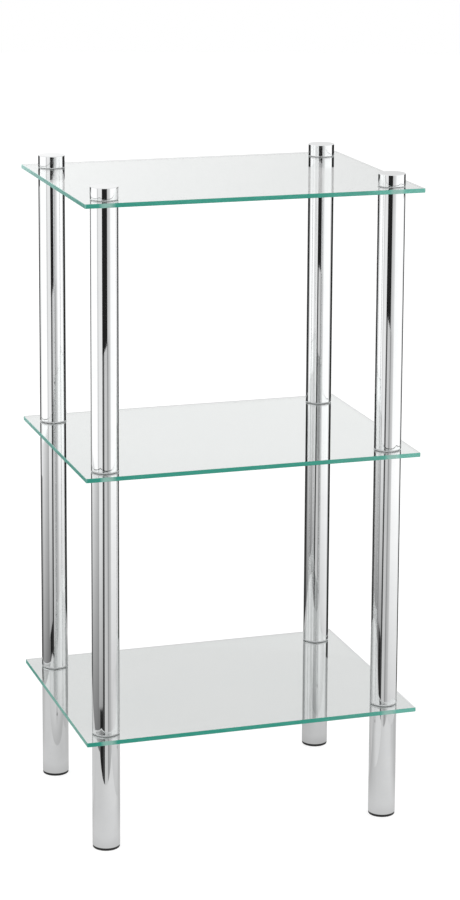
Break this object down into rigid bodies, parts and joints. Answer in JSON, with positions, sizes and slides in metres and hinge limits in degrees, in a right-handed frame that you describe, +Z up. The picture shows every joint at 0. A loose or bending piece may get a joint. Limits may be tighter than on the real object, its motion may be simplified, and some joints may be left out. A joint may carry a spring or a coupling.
{
  "type": "bathroom shelving unit",
  "caption": "Free-standing bathroom rack: clear glass shelves clamped between screwed chrome tube columns, with chrome screw caps on top and black plastic feet.",
  "frame": {"origin": "on the floor, under the middle of the shelves", "axes": "+Z up along the columns, +X along the shelves' width to the right, +Y along their depth to the back"},
  "size_m": [0.4, 0.3, 0.7733],
  "materials": {
    "float_glass": "clear float glass, polished, with ground edges that look teal",
    "chrome_tube": "bright chrome plate on steel tube",
    "chrome_cap": "bright chrome plate on a turned steel cap",
    "zinc_steel": "zinc-plated steel, turned",
    "black_plastic": "moulded black plastic, fine matte",
    "grey_plastic": "moulded pale grey plastic, smooth matte"
  },
  "bodies": {
    "frame": {"glass_shelf_bottom": "float_glass", "glass_shelf_middle": "float_glass", "glass_shelf_top": "float_glass", "leg_tube_front_left": "chrome_tube", "leg_tube_front_right": "chrome_tube", "leg_tube_back_left": "chrome_tube", "leg_tube_back_right": "chrome_tube", "lower_post_front_left": "chrome_tube", "lower_post_front_right": "chrome_tube", "lower_post_back_left": "chrome_tube", "lower_post_back_right": "chrome_tube", "upper_post_front_left": "chrome_tube", "upper_post_front_right": "chrome_tube", "upper_post_back_left": "chrome_tube", "upper_post_back_right": "chrome_tube", "lower_stud_plug_front_left": "zinc_steel", "lower_stud_plug_front_right": "zinc_steel", "lower_stud_plug_back_left": "zinc_steel", "lower_stud_plug_back_right": "zinc_steel", "upper_stud_plug_front_left": "zinc_steel", "upper_stud_plug_front_right": "zinc_steel", "upper_stud_plug_back_left": "zinc_steel", "upper_stud_plug_back_right": "zinc_steel", "leg_socket_front_left": "grey_plastic", "leg_socket_front_right": "grey_plastic", "leg_socket_back_left": "grey_plastic", "leg_socket_back_right": "grey_plastic", "lower_socket_front_left": "grey_plastic", "lower_socket_front_right": "grey_plastic", "lower_socket_back_left": "grey_plastic", "lower_socket_back_right": "grey_plastic", "upper_socket_front_left": "grey_plastic", "upper_socket_front_right": "grey_plastic", "upper_socket_back_left": "grey_plastic", "upper_socket_back_right": "grey_plastic", "bush_bottom_front_left": "grey_plastic", "bush_bottom_front_right": "grey_plastic", "bush_bottom_back_left": "grey_plastic", "bush_bottom_back_right": "grey_plastic", "bush_middle_front_left": "grey_plastic", "bush_middle_front_right": "grey_plastic", "bush_middle_back_left": "grey_plastic", "bush_middle_back_right": "grey_plastic", "foot_front_left": "black_plastic", "foot_front_right": "black_plastic", "foot_back_left": "black_plastic", "foot_back_right": "black_plastic"},
    "cap_lift_front_left": {"bush_top_front_left": "grey_plastic"},
    "screw_cap_front_left": {"cap_front_left": "chrome_cap", "cap_stud_front_left": "zinc_steel"},
    "cap_lift_front_right": {"bush_top_front_right": "grey_plastic"},
    "screw_cap_front_right": {"cap_front_right": "chrome_cap", "cap_stud_front_right": "zinc_steel"},
    "cap_lift_back_left": {"bush_top_back_left": "grey_plastic"},
    "screw_cap_back_left": {"cap_back_left": "chrome_cap", "cap_stud_back_left": "zinc_steel"},
    "cap_lift_back_right": {"bush_top_back_right": "grey_plastic"},
    "screw_cap_back_right": {"cap_back_right": "chrome_cap", "cap_stud_back_right": "zinc_steel"}
  },
  "joints": [
    {"name": "cap_rise_front_left", "type": "slide", "parent": "frame", "child": "cap_lift_front_left", "axis": [0, 0, 1], "range_m": [0, 0.01]},
    {"name": "cap_turn_front_left", "type": "hinge", "parent": "cap_lift_front_left", "child": "screw_cap_front_left", "pos_m": [-0.17, -0.12, 0.7668], "axis": [0, 0, 1], "range_deg": [0, 2880]},
    {"name": "cap_rise_front_right", "type": "slide", "parent": "frame", "child": "cap_lift_front_right", "axis": [0, 0, 1], "range_m": [0, 0.01]},
    {"name": "cap_turn_front_right", "type": "hinge", "parent": "cap_lift_front_right", "child": "screw_cap_front_right", "pos_m": [0.17, -0.12, 0.7668], "axis": [0, 0, 1], "range_deg": [0, 2880]},
    {"name": "cap_rise_back_left", "type": "slide", "parent": "frame", "child": "cap_lift_back_left", "axis": [0, 0, 1], "range_m": [0, 0.01]},
    {"name": "cap_turn_back_left", "type": "hinge", "parent": "cap_lift_back_left", "child": "screw_cap_back_left", "pos_m": [-0.17, 0.12, 0.7668], "axis": [0, 0, 1], "range_deg": [0, 2880]},
    {"name": "cap_rise_back_right", "type": "slide", "parent": "frame", "child": "cap_lift_back_right", "axis": [0, 0, 1], "range_m": [0, 0.01]},
    {"name": "cap_turn_back_right", "type": "hinge", "parent": "cap_lift_back_right", "child": "screw_cap_back_right", "pos_m": [0.17, 0.12, 0.7668], "axis": [0, 0, 1], "range_deg": [0, 2880]}
  ],
  "couplings": [
    {"joint": "cap_turn_front_left", "follows": "cap_rise_front_left", "rad_per_m": 5026.5},
    {"joint": "cap_turn_front_right", "follows": "cap_rise_front_right", "rad_per_m": 5026.5},
    {"joint": "cap_turn_back_left", "follows": "cap_rise_back_left", "rad_per_m": 5026.5},
    {"joint": "cap_turn_back_right", "follows": "cap_rise_back_right", "rad_per_m": 5026.5}
  ]
}
